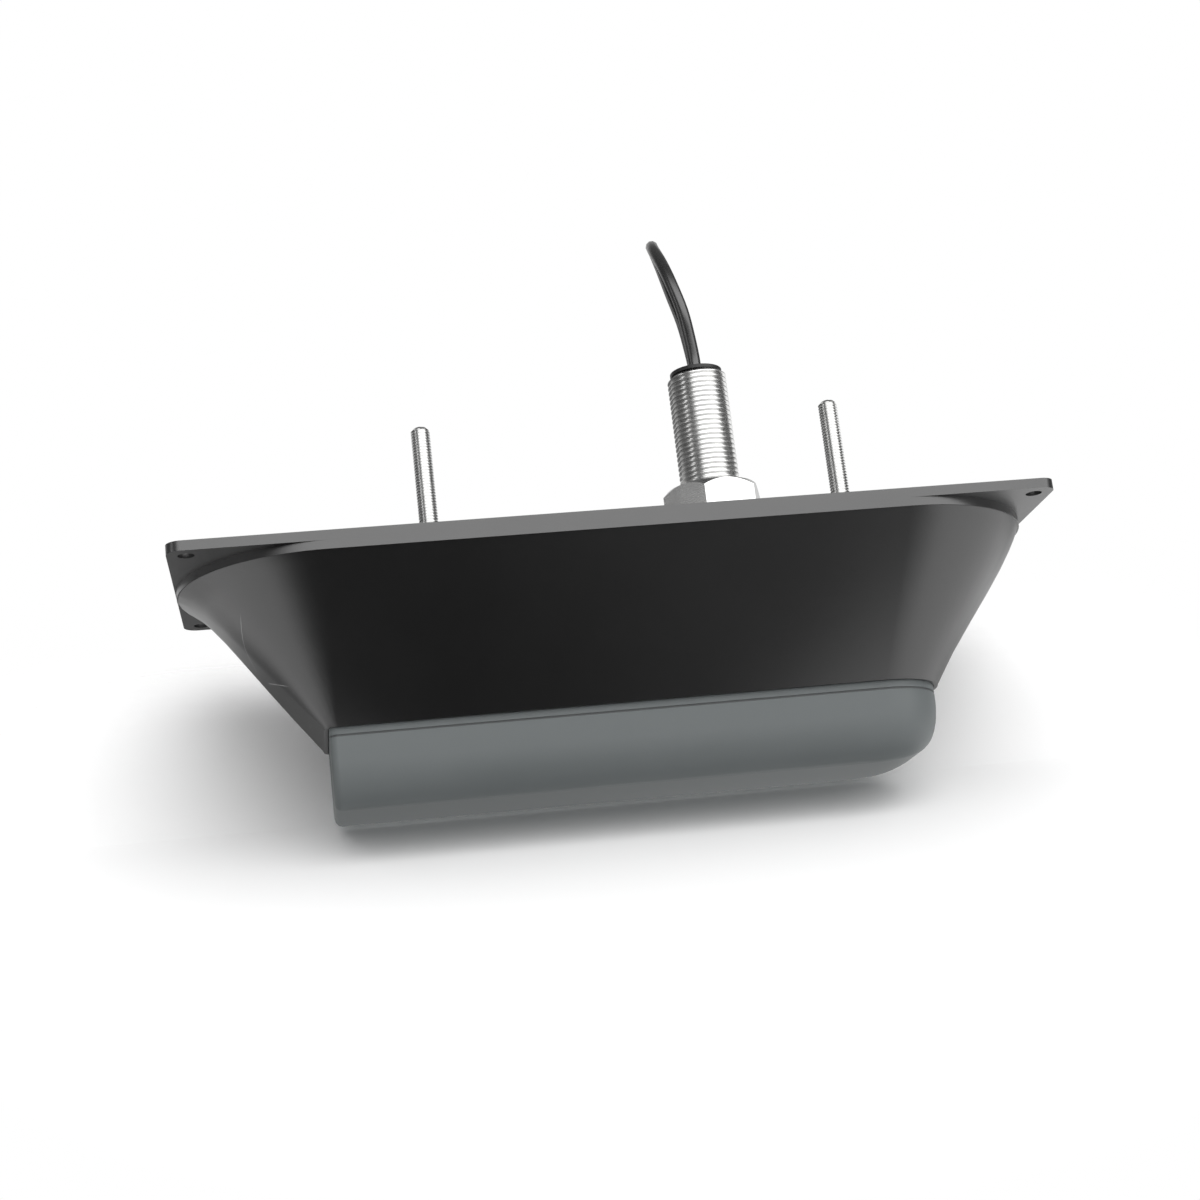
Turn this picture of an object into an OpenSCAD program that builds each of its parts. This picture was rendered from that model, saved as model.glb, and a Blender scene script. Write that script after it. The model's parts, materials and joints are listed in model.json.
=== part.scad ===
// Through-hull side-looking sonar transducer on a moulded fairing, with its cable.
// Millimetres. Z runs up the stem and X towards the nose. The flat sole of the housing is at Z = 0,
// and the flange is centred on the Z axis.

/* [Housing] */
// Length of the housing from tail to nose
housing_length = 248; // [220:1:290]
// Width of the housing
housing_width = 52; // [48:1:64]
// Height of the lower shell
shell_height = 28; // [26:0.5:40]
// Wall of the lower shell
shell_wall = 3; // [2.5:0.1:4]
// How far the sides curve in towards the sole
edge_radius = 8; // [4:0.5:12]
// Height over which the sides curve in
edge_rise = 18; // [10:0.5:22]
// Length over which the nose curves up from the sole
nose_run = 38; // [30:1:50]
// Radius of the edges round the flat tail
tail_radius = 3; // [1:0.5:4]
// Place of the tail along X
tail_x = -119; // [-125:1:-110]

/* [Lid and seal] */
// Thickness of the lid that closes the shell
lid_thickness = 5.7; // [5:0.1:9]
// Height of the lid that shows below the fairing
lid_band = 2.7; // [1.5:0.1:4]
// Thickness of the seal between shell and lid
seal_thickness = 0.8; // [0.5:0.1:1.5]
// Depth of the groove that the seal leaves round the joint
seal_inset = 0.4; // [0.4:0.1:1.2]
// Width of the seal
seal_width = 1.6; // [1:0.1:1.8]

/* [Fairing] */
// Length of the mounting flange
flange_length = 350; // [330:1:400]
// Width of the mounting flange
flange_width = 120; // [105:1:150]
// Thickness of the flange
flange_thickness = 4; // [2:0.5:6]
// Radius of the flange's corners
flange_corner = 6; // [2:0.5:6]
// Height of the collar under the flange
collar_height = 3.5; // [1:0.5:6]
// Width of the ledge between collar and wall
collar_ledge = 0.5; // [0.5:0.1:2]
// Height from the lip round the housing to the flange's top
fairing_height = 69.5; // [60:0.5:90]
// How far the lip stands outside the housing
lip_margin = 2.6; // [2:0.1:5]
// Height of the upright land at the lip
lip_land = 1.5; // [0.5:0.1:3]
// Radius of the lip's two tail corners
lip_corner = 6; // [4:0.5:10]
// Wall of the hollow fairing, measured level
fairing_wall = 6; // [4:0.5:8]
// Thickness of the floor over the lid
floor_thickness = 6; // [5:0.5:10]
// Thickness of the ribs
rib_thickness = 3; // [2:0.5:5]
// Distance between cross ribs
rib_pitch = 33; // [25:1:45]
// Diameter of the screw holes in the flange
screw_hole_d = 6.5; // [4:0.5:8]
// Distance of the screw holes from the flange's edges
screw_hole_inset = 7.5; // [6:0.5:10]

/* [Stem] */
// Place of the stem along X
stem_x = 48; // [30:1:55]
// Diameter over the stem's thread
stem_d = 25; // [20:1:28]
// Bore of the stem
stem_bore = 12; // [9:0.5:14]
// Height of the stem above the flange
stem_rise = 74.5; // [60:0.5:110]
// Chamfer at the stem's top
stem_chamfer = 1.2; // [0.5:0.1:2]
// Diameter of the stem's foot
stem_foot_d = 40; // [34:1:44]
// Height of the stem's foot
stem_foot_height = 5; // [3:0.5:8]
// Width of the nut across its flats
nut_flats = 38; // [34:1:42]
// Height of the nut
nut_height = 19; // [10:0.5:26]
// Slope of the nut's turned corners, in degrees
nut_slope = 46; // [30:1:50]
// Turn of the nut about the stem, in degrees
nut_turn = 12; // [0:1:60]
// Diameter of the washer
washer_d = 44; // [42:1:50]
// Thickness of the washer
washer_thickness = 4; // [2:0.5:6]
// Width of the boss outside the washer
boss_margin = 4; // [2:0.5:6]

/* [Studs] */
// Diameter over the studs' thread
stud_d = 8; // [6:0.5:10]
// Pitch of the studs' rolled thread
stud_pitch = 1.25; // [1:0.05:1.5]
// Height of the studs above the flange
stud_rise = 59; // [40:0.5:80]
// Place of the rear stud along X
rear_stud_x = -71; // [-85:1:-50]
// Depth of the studs' seats in the lid
stud_seat = 3.5; // [2:0.1:4]
// Diameter of the bosses round the studs
stud_boss_d = 22; // [16:1:26]

/* [Sounding elements] */
// Angle of the side elements' sight below level, in degrees
side_tilt = 30; // [20:1:35]
// Thickness of the side elements
side_element_t = 3; // [2:0.1:4]
// Thickness of the backing behind a side element
side_backing_t = 2; // [1.5:0.1:3]
// Thickness of the facing in front of a side element
side_facing_t = 1; // [0.5:0.1:1.5]
// Thickness of the element that looks down
down_element_t = 4; // [3:0.1:5]
// Thickness of the backing over the down element
down_backing_t = 4.5; // [3:0.1:5]
// Thickness of the facing under the down element
down_facing_t = 1.5; // [0.5:0.1:2]
// Length that the carrier stands past the elements at each end
carrier_overhang = 5; // [2:0.5:10]
// Thickness of the circuit board
board_t = 1.6; // [1:0.1:2.4]
// Length of the circuit board
board_length = 58; // [40:1:70]
// Diameter of the temperature probe
probe_d = 4; // [3:0.1:6]
// Height of the temperature probe
probe_height = 10; // [6:0.5:16]

/* [Cable] */
// Diameter of the cable
cable_d = 5.5; // [4.5:0.1:6]
// Diameter of the bush on the stem
bush_d = 22; // [16:0.5:23]
// Height of the bush above the stem
bush_height = 1.5; // [1.5:0.1:3]
// Depth of the bush's spigot in the stem
bush_spigot = 9; // [5:0.5:15]
// Turns of cable side by side in the coil
coil_columns = 5; // [4:1:5]
// Layers of turns in the coil
coil_rows = 4; // [3:1:4]
// Radius of the coil at the middle of its turns
coil_radius = 42; // [40:1:44]
// Width of the ties round the coil
tie_width = 9; // [6:0.5:14]
// Thickness of the ties
tie_t = 1.5; // [1:0.1:2]
// Diameter of the plug's shell
plug_d = 18; // [17:0.5:18]
// Wall of the plug's shell
plug_wall = 2; // [1:0.1:2.5]
// Length of the plug's shell
plug_shell_length = 14; // [10:0.5:20]
// Length of the plug's moulded grip
plug_grip_length = 30; // [20:1:40]
// Length of the plug's tapered boot
plug_boot_length = 16; // [10:1:24]

/* [Hidden] */
$fn = 64;

// Fits
clearance = 0.3;
cut = 1;

// Levels, from the sole upwards
lid_z = shell_height + seal_thickness;
lid_top = lid_z + lid_thickness;
lip_z = lid_z + lid_band;
flange_top = lip_z + fairing_height;
flange_z = flange_top - flange_thickness;
collar_z = flange_z - collar_height;
floor_top = lid_top + floor_thickness;
stem_top = flange_top + stem_rise;
washer_top = flange_top + washer_thickness;
stud_z = lid_top - stud_seat;

// A rolled thread stands out from a shank of its pitch diameter
stud_shank_d = stud_d - 0.65 * stud_pitch;
stud_thread_gap = 1;

// Plan of the housing: a flat tail and a half-round nose
nose_x = tail_x + housing_length;
nose_centre_x = nose_x - housing_width / 2;
nose_start_x = nose_x - nose_run;
front_stud_x = nose_centre_x;
boss_d = washer_d + 2 * boss_margin;

// Lofted shell
arc_steps = 8;
nose_steps = 16;
tail_steps = 3;
nose_tip_share = 0.985;
nose_round = 0.95;
nose_fullness = 2.8;

// Lofted wall of the fairing, which is hollowed under the tail's collar and full at the nose
wall_steps = 10;
wall_levels = [0, 0.2, 0.4, 0.6, 0.75, 0.87, 0.94, 1];
wall_end_flat = 0.5;
tail_cove = 0.11;
tail_cove_low = 1.4;
tail_cove_high = 10;
nose_shoulder = 0.46;
nose_shoulder_level = 0.35;
wall_corners = [
    for (i = [0 : 2 * wall_steps]) [90 - 90 * i / wall_steps, 0],
    for (i = [0 : wall_steps]) [-90 - 90 * i / wall_steps, -1],
    for (i = [0 : wall_steps]) [180 - 90 * i / wall_steps, 1]
];

// Stack of sounding elements inside the shell
head_room = 3;
side_gap = 0.8;
stack_gap = 1;
element_end_gap = probe_d + tail_radius + stack_gap;
probe_x = tail_x + shell_wall + tail_radius + probe_d / 2;
carrier_z = shell_wall + down_facing_t + down_element_t + down_backing_t;
side_height = (shell_height - carrier_z - board_t - head_room) / cos(side_tilt);
side_stack = side_backing_t + side_element_t + side_facing_t;
carrier_top = carrier_z + side_height * cos(side_tilt);
inner_half = housing_width / 2 - shell_wall;
carrier_half = inner_half - side_gap - side_height * sin(side_tilt) - side_stack * cos(side_tilt);
carrier_top_half = carrier_half + side_height * sin(side_tilt);
down_half = carrier_half - stack_gap;
carrier_x = tail_x + shell_wall + element_end_gap;
carrier_length = nose_start_x - element_end_gap - carrier_x;
element_x = carrier_x + carrier_overhang;
element_length = carrier_length - 2 * carrier_overhang;
board_top = carrier_top + board_t;
board_edge = 2;
lead_hole_d = cable_d + 3;

// Cable: round-number points in millimetres, from the bush over the top to the coil behind the object
cable_sides = 10;
lead_route = [
    [48, 0, 177], [48, 0, 183], [47, -1.5, 192], [45, -3.5, 204], [42, -2.5, 217],
    [40, 2.5, 228.5], [39, 11, 238.5], [40.5, 22, 245.5], [44, 34.5, 247.5], [48.5, 46, 244],
    [53, 54.5, 235.5], [57.5, 60.5, 224.5], [60.5, 65.5, 213], [63, 71.5, 201.5], [64.5, 76.5, 190],
    [65, 80.5, 177.5], [65.5, 83.5, 164.5], [65.5, 85.5, 151.5], [65, 87, 138.5], [65, 88, 125.5],
    [64, 89, 112.5], [63, 90.5, 99.5], [62, 93, 86.5], [60.5, 96.5, 74], [59, 101, 62],
    [57, 107.5, 51], [55, 115.5, 41], [53.5, 125.5, 32.5], [52, 137, 27.5], [50.5, 147, 26.5],
    [46.5, 157, 26.5], [39.5, 165.5, 26.5], [31, 172.5, 26.5]
];
tail_route = [
    [-15.5, 189, 4.5], [-27, 189.5, 5], [-38, 189, 7], [-49, 188, 9], [-58, 188, 9]
];
coil_centre = [10, 136];
coil_width = coil_columns * cable_d;
coil_height = coil_rows * cable_d;
coil_corner = cable_d / 2;
tie_angles = [190, 290];
plug_start = tail_route[len(tail_route) - 1];
plug_boot_d = cable_d + 2.5;
plug_grip_d = plug_d - 1;
plug_grooves = 4;
plug_groove_width = 1.6;
plug_groove_depth = 0.8;
plug_recess = 1.5;
socket_count = 5;
socket_d = 1.6;
socket_depth = 6;

// A plate with four round corners, centred in X and Y
module rounded_plate(length, width, radius, height) {
    translate([-length / 2 + radius, -width / 2, 0])
        cube([length - 2 * radius, width, height]);
    translate([-length / 2, -width / 2 + radius, 0])
        cube([length, width - 2 * radius, height]);
    for (x = [-1, 1], y = [-1, 1])
        translate([x * (length / 2 - radius), y * (width / 2 - radius), 0])
            cylinder(r = radius, h = height);
}

// A plate with half-round ends, centred in X and Y
module stadium(length, width, height) {
    translate([-(length - width) / 2, -width / 2, 0])
        cube([length - width, width, height]);
    for (x = [-1, 1])
        translate([x * (length - width) / 2, 0, 0])
            cylinder(d = width, h = height);
}

// The housing's plan as a plate, grown outwards by a margin
module plan(margin, corner, height) {
    half = housing_width / 2 + margin;
    tail = tail_x - margin;
    translate([nose_centre_x, 0, 0])
        cylinder(r = half, h = height);
    translate([tail + corner, -half, 0])
        cube([nose_centre_x - tail - corner, 2 * half, height]);
    translate([tail, -half + corner, 0])
        cube([nose_centre_x - tail, 2 * (half - corner), height]);
    for (y = [-1, 1])
        translate([tail + corner, y * (half - corner), 0])
            cylinder(r = corner, h = height);
}

// Round hole or post along Z
module post(x, z, d, height) {
    translate([x, 0, z])
        cylinder(d = d, h = height);
}

// Cross-section of the shell: sides that curve in to a flat sole
function section(x, half, depth, radius, rise, top) = [
    [x, half, top],
    for (i = [0 : arc_steps]) let (a = 90 * i / arc_steps)
        [x, half - radius + radius * cos(a), rise - depth - rise * sin(a)],
    for (i = [arc_steps : -1 : 0]) let (a = 90 * i / arc_steps)
        [x, radius - half - radius * cos(a), rise - depth - rise * sin(a)],
    [x, -half, top]
];

// Share of the full width or depth that is left at a place along the nose
function nose_share(x, start, run, fullness) =
    pow(1 - pow(max(0, x - start) / run, fullness), 1 / fullness);

// Sections of the shell from tail to nose, taken in by an inset all round
function shell_sections(inset, top) = let (
    half = housing_width / 2 - inset,
    depth = shell_height - inset,
    radius = edge_radius - inset,
    rise = edge_rise - inset,
    tail = tail_x + inset,
    run = nose_run - inset
) [
    for (i = [0 : tail_steps]) let (a = 90 * i / tail_steps, pull = tail_radius * (1 - sin(a)))
        section(tail + tail_radius * (1 - cos(a)), half - pull, depth - pull, radius, rise, top),
    for (i = [0 : nose_steps]) let (
        x = nose_start_x + run * sin(90 * nose_tip_share * i / nose_steps),
        wide = half * nose_share(x, nose_centre_x, half, 2),
        deep = depth * nose_share(x, nose_start_x, run, nose_fullness),
        blend = pow(i / nose_steps, 2),
        round_edge = nose_round * min(wide, deep),
        across = min(round_edge, (1 - blend) * radius + blend * round_edge),
        up = min(nose_round * deep, (1 - blend) * rise + blend * round_edge)
    ) section(x, wide, deep, across, up, top)
];

// A solid skinned over rings of points
module skin(rings) {
    sides = len(rings[0]);
    last = len(rings) - 1;
    points = [for (ring = rings, point = ring) point];
    walls = [
        for (i = [0 : last - 1], j = [0 : sides - 1]) let (k = (j + 1) % sides)
            each [
                [i * sides + j, (i + 1) * sides + k, (i + 1) * sides + j],
                [i * sides + j, i * sides + k, (i + 1) * sides + k]
            ]
    ];
    ends = [
        [for (j = [sides - 1 : -1 : 0]) j],
        [for (j = [0 : sides - 1]) last * sides + j]
    ];
    polyhedron(points = points, faces = concat(walls, ends), convexity = 6);
}

function unit(v) = v / norm(v);

// Direction of a route at each of its points
function route_directions(route) = let (last = len(route) - 1) [
    for (i = [0 : last]) unit(route[min(last, i + 1)] - route[max(0, i - 1)])
];

// Side vectors that turn along the route without twisting
function route_sides(directions, first) = [
    for (
        i = 0, side = first;
        i < len(directions);
        i = i + 1,
        side = i < len(directions) ? unit(side - (side * directions[i]) * directions[i]) : side
    ) side
];

// A cable of round section along a route
module cable(route, first_side) {
    directions = route_directions(route);
    sides = route_sides(directions, first_side);
    skin([
        for (i = [0 : len(route) - 1]) let (across = cross(directions[i], sides[i])) [
            for (j = [0 : cable_sides - 1]) let (a = -360 * j / cable_sides)
                route[i] + cable_d / 2 * (cos(a) * sides[i] + sin(a) * across)
        ]
    ]);
}

// Point on the lip's outline where it faces an angle; side 0 is the nose, 1 and -1 the tail corners
function lip_point(margin, angle, side) = let (
    half = housing_width / 2 + margin,
    facing = [cos(angle), sin(angle)]
) side == 0
    ? [nose_centre_x, 0] + half * facing
    : [tail_x - margin + lip_corner, side * (half - lip_corner)] + lip_corner * facing;

// Point on the half-round outline under the flange where it faces an angle
function end_point(length, width, angle, side) = let (
    radius = width / 2 - abs(side) * wall_end_flat,
    facing = [cos(angle), sin(angle)]
) [(side == 0 ? 1 : -1) * (length / 2 - radius), side * wall_end_flat] + radius * facing;

// How far the wall has opened out at a share of its height
function wall_share(height, angle) = let (
    cove = tail_cove * pow(height, tail_cove_low) * (1 - pow(height, tail_cove_high)),
    shoulder = nose_shoulder * height * (1 - height) * (height - nose_shoulder_level)
) height - max(0, -cos(angle)) * cove + max(0, cos(angle)) * shoulder;

// Outline of the wall at a share of its height, taken in by an inset all round
function wall_ring(inset, height, z) = let (
    length = flange_length - 4 * collar_ledge - 2 * inset,
    width = flange_width - 2 * collar_ledge - 2 * inset
) [
    for (corner = wall_corners) let (
        share = wall_share(height, corner[0]),
        low = lip_point(lip_margin - inset, corner[0], corner[1]),
        high = end_point(length, width, corner[0], corner[1]),
        place = (1 - share) * low + share * high
    ) [place[0], place[1], z]
];

// Outer body of the fairing: from the lip at the housing up to the half-round ends under the flange
module fairing_body() {
    wall_z = lip_z + lip_land;
    skin([
        wall_ring(0, 0, lip_z),
        for (height = wall_levels) wall_ring(0, height, wall_z + height * (collar_z - wall_z)),
        wall_ring(0, 1, flange_z + flange_thickness / 2)
    ]);
}

// Hollow of the fairing, open at the top
module fairing_hollow() {
    skin([
        for (height = wall_levels)
            wall_ring(fairing_wall, height, floor_top + height * (flange_top - floor_top)),
        wall_ring(fairing_wall, 1, flange_top + cut)
    ]);
}

// Ribs and bosses that stand in the hollow
module fairing_ribs() {
    height = flange_top - floor_top + 2 * cut;
    ribs = ceil((flange_length / 2 + stem_x) / rib_pitch);
    translate([-flange_length / 2, -rib_thickness / 2, floor_top - cut])
        cube([flange_length, rib_thickness, height]);
    for (i = [-ribs : ribs])
        translate([stem_x + i * rib_pitch - rib_thickness / 2, -flange_width / 2, floor_top - cut])
            cube([rib_thickness, flange_width, height]);
    post(stem_x, floor_top - cut, boss_d, height);
    for (x = [front_stud_x, rear_stud_x])
        post(x, floor_top - cut, stud_boss_d, height);
}

module fairing_block() {
    color("#1d1d1e")
        difference() {
            union() {
                translate([0, 0, flange_z])
                    rounded_plate(flange_length, flange_width, flange_corner, flange_thickness);
                translate([0, 0, collar_z])
                    stadium(
                        flange_length - 2 * collar_ledge, flange_width,
                        collar_height + flange_thickness / 2
                    );
                fairing_body();
            }
            difference() {
                fairing_hollow();
                fairing_ribs();
            }
            translate([0, 0, lip_z - cut])
                plan(clearance, tail_radius + clearance, lid_top - lip_z + cut);
            post(stem_x, lid_top - cut, stem_foot_d + 2 * clearance, stem_foot_height + cut);
            post(stem_x, lid_top, stem_d + 2 * clearance, flange_top - lid_top + cut);
            for (x = [front_stud_x, rear_stud_x])
                post(x, lid_top - cut, stud_d + 2 * clearance, flange_top - lid_top + 2 * cut);
            for (x = [-1, 1], y = [-1, 1])
                translate([
                    x * (flange_length / 2 - screw_hole_inset),
                    y * (flange_width / 2 - screw_hole_inset),
                    collar_z - cut
                ])
                    cylinder(d = screw_hole_d, h = flange_top - collar_z + 2 * cut);
        }
}

module housing_shell() {
    color("#6f7576")
        translate([0, 0, shell_height])
            difference() {
                skin(shell_sections(0, 0));
                skin(shell_sections(shell_wall, cut));
            }
}

module lid_seal() {
    color("#2b2d2e")
        translate([0, 0, shell_height])
            difference() {
                plan(-seal_inset, tail_radius, seal_thickness);
                translate([0, 0, -cut])
                    plan(-seal_inset - seal_width, tail_radius, seal_thickness + 2 * cut);
            }
}

module housing_lid() {
    color("#6f7576")
        difference() {
            translate([0, 0, lid_z])
                plan(0, tail_radius, lid_thickness);
            post(stem_x, lid_z - cut, lead_hole_d, lid_thickness + 2 * cut);
            for (x = [front_stud_x, rear_stud_x])
                post(x, stud_z, stud_shank_d + 2 * clearance, stud_seat + cut);
        }
}

module stem() {
    color("#c9cbcc")
        translate([stem_x, 0, 0])
            rotate_extrude()
                polygon([
                    [stem_bore / 2, lid_top],
                    [stem_foot_d / 2, lid_top],
                    [stem_foot_d / 2, lid_top + stem_foot_height],
                    [stem_d / 2, lid_top + stem_foot_height],
                    [stem_d / 2, stem_top - stem_chamfer],
                    [stem_d / 2 - stem_chamfer, stem_top],
                    [stem_bore / 2, stem_top]
                ]);
}

module stem_washer() {
    color("#b9bbbc")
        difference() {
            post(stem_x, flange_top, washer_d, washer_thickness);
            post(stem_x, flange_top - cut, stem_d + 2 * clearance, washer_thickness + 2 * cut);
        }
}

// Hexagon nut with its corners turned off at both ends
module stem_nut() {
    corner_r = nut_flats / sqrt(3);
    turned = corner_r - nut_flats / 2;
    drop = turned * tan(nut_slope);
    color("#b4b6b7")
        translate([stem_x, 0, washer_top])
            difference() {
                intersection() {
                    rotate([0, 0, nut_turn])
                        cylinder(r = corner_r, h = nut_height, $fn = 6);
                    rotate_extrude()
                        polygon([
                            [0, 0], [nut_flats / 2, 0], [corner_r, drop],
                            [corner_r, nut_height - drop], [nut_flats / 2, nut_height], [0, nut_height]
                        ]);
                }
                translate([0, 0, -cut])
                    cylinder(d = stem_d + 2 * clearance, h = nut_height + 2 * cut);
            }
}

// A stud with a plain shank inside the fairing
module stud(x) {
    shank_r = stud_shank_d / 2;
    thread_r = stud_d / 2;
    thread_z = flange_top + stud_thread_gap;
    stud_top = flange_top + stud_rise;
    color("#c4c6c7")
        translate([x, 0, 0])
            rotate_extrude()
                polygon([
                    [0, stud_z], [shank_r, stud_z],
                    [shank_r, thread_z], [thread_r, thread_z + thread_r - shank_r],
                    [thread_r, stud_top - stem_chamfer], [thread_r - stem_chamfer, stud_top],
                    [0, stud_top]
                ]);
}

module stud_front() {
    stud(front_stud_x);
}

module stud_rear() {
    stud(rear_stud_x);
}

module cable_bush() {
    color("#141414")
        union() {
            post(stem_x, stem_top, bush_d, bush_height);
            post(stem_x, stem_top - bush_spigot, stem_bore - 2 * clearance, bush_spigot + bush_height / 2);
        }
}

module stem_leads() {
    color("#303030")
        post(stem_x, board_top, cable_d, stem_top - bush_spigot - board_top);
}

module element_carrier() {
    color("#d8cfae")
        translate([carrier_x, 0, 0])
            rotate([90, 0, 90])
                linear_extrude(carrier_length)
                    polygon([
                        [-carrier_half, carrier_z], [carrier_half, carrier_z],
                        [carrier_top_half, carrier_top], [-carrier_top_half, carrier_top]
                    ]);
}

// A bar of the stack that looks down
module down_bar(z, thickness) {
    translate([element_x, -down_half, z])
        cube([element_length, 2 * down_half, thickness]);
}

module down_facing() {
    color("#5e7f6a")
        down_bar(shell_wall, down_facing_t);
}

module down_element() {
    color("#d9c9a3")
        down_bar(shell_wall + down_facing_t, down_element_t);
}

module down_backing() {
    color("#a9794c")
        down_bar(carrier_z - down_backing_t, down_backing_t);
}

// A bar of the stack on one flank of the carrier: side is 1 for port and -1 for starboard
module side_bar(side, out, thickness) {
    mirror([0, side < 0 ? 1 : 0, 0])
        translate([element_x, carrier_half, carrier_z])
            rotate([-side_tilt, 0, 0])
                translate([0, out, 0])
                    cube([element_length, thickness, side_height]);
}

module side_backing(side) {
    color("#a9794c")
        side_bar(side, 0, side_backing_t);
}

module side_element(side) {
    color("#d9c9a3")
        side_bar(side, side_backing_t, side_element_t);
}

module side_facing(side) {
    color("#5e7f6a")
        side_bar(side, side_backing_t + side_element_t, side_facing_t);
}

module port_backing() {
    side_backing(1);
}

module port_element() {
    side_element(1);
}

module port_facing() {
    side_facing(1);
}

module starboard_backing() {
    side_backing(-1);
}

module starboard_element() {
    side_element(-1);
}

module starboard_facing() {
    side_facing(-1);
}

module circuit_board() {
    color("#2f6b45")
        translate([stem_x - board_length / 2, board_edge - carrier_top_half, carrier_top])
            cube([board_length, 2 * (carrier_top_half - board_edge), board_t]);
}

module temperature_probe() {
    color("#b87333")
        post(probe_x, shell_wall, probe_d, probe_height);
}

module cable_lead() {
    color("#161616")
        cable(lead_route, [1, 0, 0]);
}

module cable_tail() {
    color("#161616")
        cable(tail_route, [0, 0, 1]);
}

module cable_coil() {
    color("#161616")
        translate([coil_centre[0], coil_centre[1], tie_t])
            rotate_extrude()
                translate([coil_radius - coil_width / 2, 0])
                    polygon([
                        [coil_corner, 0], [coil_width - coil_corner, 0],
                        [coil_width, coil_corner], [coil_width, coil_height - coil_corner],
                        [coil_width - coil_corner, coil_height], [coil_corner, coil_height],
                        [0, coil_height - coil_corner], [0, coil_corner]
                    ]);
}

// A tie is a flat band round the coil
module coil_tie(angle) {
    near = sqrt(pow(coil_radius - coil_width / 2, 2) - pow(tie_width / 2, 2)) - clearance;
    far = coil_radius + coil_width / 2 + clearance;
    color("#101010")
        translate([coil_centre[0], coil_centre[1], 0])
            rotate([0, 0, angle])
                difference() {
                    translate([near - tie_t, -tie_width / 2, 0])
                        cube([far - near + 2 * tie_t, tie_width, coil_height + clearance + 2 * tie_t]);
                    translate([near, -tie_width / 2 - cut, tie_t])
                        cube([far - near, tie_width + 2 * cut, coil_height + clearance]);
                }
}

module coil_tie_left() {
    coil_tie(tie_angles[0]);
}

module coil_tie_right() {
    coil_tie(tie_angles[1]);
}

// Lays a piece that is drawn up the Z axis along the plug's own axis
module along_plug() {
    translate(plug_start)
        rotate([0, -90, 0])
            children();
}

module plug_grip() {
    front = plug_boot_length + plug_grip_length;
    groove_pitch = plug_grip_length / (plug_grooves + 1);
    color("#151515")
        along_plug()
            difference() {
                rotate_extrude()
                    polygon([
                        [0, 0], [plug_boot_d / 2, 0], [plug_grip_d / 2, plug_boot_length],
                        [plug_grip_d / 2, front], [0, front]
                    ]);
                for (i = [1 : plug_grooves])
                    translate([0, 0, plug_boot_length + i * groove_pitch - plug_groove_width / 2])
                        difference() {
                            cylinder(d = plug_grip_d + 2 * cut, h = plug_groove_width);
                            cylinder(d = plug_grip_d - 2 * plug_groove_depth, h = plug_groove_width);
                        }
            }
}

module plug_shell() {
    color("#3a3b3c")
        along_plug()
            translate([0, 0, plug_boot_length + plug_grip_length])
                difference() {
                    cylinder(d = plug_d, h = plug_shell_length);
                    translate([0, 0, -cut])
                        cylinder(d = plug_d - 2 * plug_wall, h = plug_shell_length + 2 * cut);
                }
}

module plug_insert() {
    insert_d = plug_d - 2 * plug_wall - 2 * clearance;
    insert_length = plug_shell_length - plug_recess;
    color("#8a8c8d")
        along_plug()
            translate([0, 0, plug_boot_length + plug_grip_length])
                difference() {
                    cylinder(d = insert_d, h = insert_length);
                    for (i = [0 : socket_count - 1])
                        rotate([0, 0, 360 * i / socket_count])
                            translate([insert_d / 4, 0, insert_length - socket_depth])
                                cylinder(d = socket_d, h = socket_depth + cut);
                }
}

fairing_block();
housing_shell();
lid_seal();
housing_lid();
stem();
stem_washer();
stem_nut();
stud_front();
stud_rear();
cable_bush();
stem_leads();
element_carrier();
down_backing();
down_element();
down_facing();
port_backing();
port_element();
port_facing();
starboard_backing();
starboard_element();
starboard_facing();
circuit_board();
temperature_probe();
cable_lead();
cable_coil();
coil_tie_left();
coil_tie_right();
cable_tail();
plug_grip();
plug_shell();
plug_insert();
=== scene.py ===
# Through-hull sonar transducer: moulded fairing and housing, threaded stem and studs, coiled cable.
# Metres. Z runs up the stem, X towards the nose, and the housing stands on the plane Z = 0.
import bpy
import json
import math
from mathutils import Matrix, Vector

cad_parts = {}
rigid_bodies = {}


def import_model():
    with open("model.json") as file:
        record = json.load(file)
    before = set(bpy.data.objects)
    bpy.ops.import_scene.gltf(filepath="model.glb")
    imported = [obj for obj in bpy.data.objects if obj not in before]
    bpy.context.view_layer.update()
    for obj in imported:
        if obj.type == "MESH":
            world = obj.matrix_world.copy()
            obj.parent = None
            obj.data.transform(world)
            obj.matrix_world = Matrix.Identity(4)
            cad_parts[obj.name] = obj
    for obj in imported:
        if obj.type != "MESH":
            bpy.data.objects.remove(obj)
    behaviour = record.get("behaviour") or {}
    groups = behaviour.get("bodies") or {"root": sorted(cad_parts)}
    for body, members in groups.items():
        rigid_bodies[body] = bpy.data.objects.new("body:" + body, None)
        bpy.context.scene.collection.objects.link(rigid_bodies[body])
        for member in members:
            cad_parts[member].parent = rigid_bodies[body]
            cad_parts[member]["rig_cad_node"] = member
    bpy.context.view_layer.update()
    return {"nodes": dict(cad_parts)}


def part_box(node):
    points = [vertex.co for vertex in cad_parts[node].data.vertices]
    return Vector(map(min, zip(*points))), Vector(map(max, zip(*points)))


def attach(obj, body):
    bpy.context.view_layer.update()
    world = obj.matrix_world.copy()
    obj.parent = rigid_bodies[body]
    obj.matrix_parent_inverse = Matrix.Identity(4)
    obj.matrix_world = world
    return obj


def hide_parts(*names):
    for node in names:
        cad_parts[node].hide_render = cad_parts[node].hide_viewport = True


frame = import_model()
nodes = frame["nodes"]
BODY = "root"
MM = 0.001
ALONG_X = (1, 0, 0)
ALONG_Y = (0, 1, 0)
ALONG_Z = (0, 0, 1)

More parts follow.
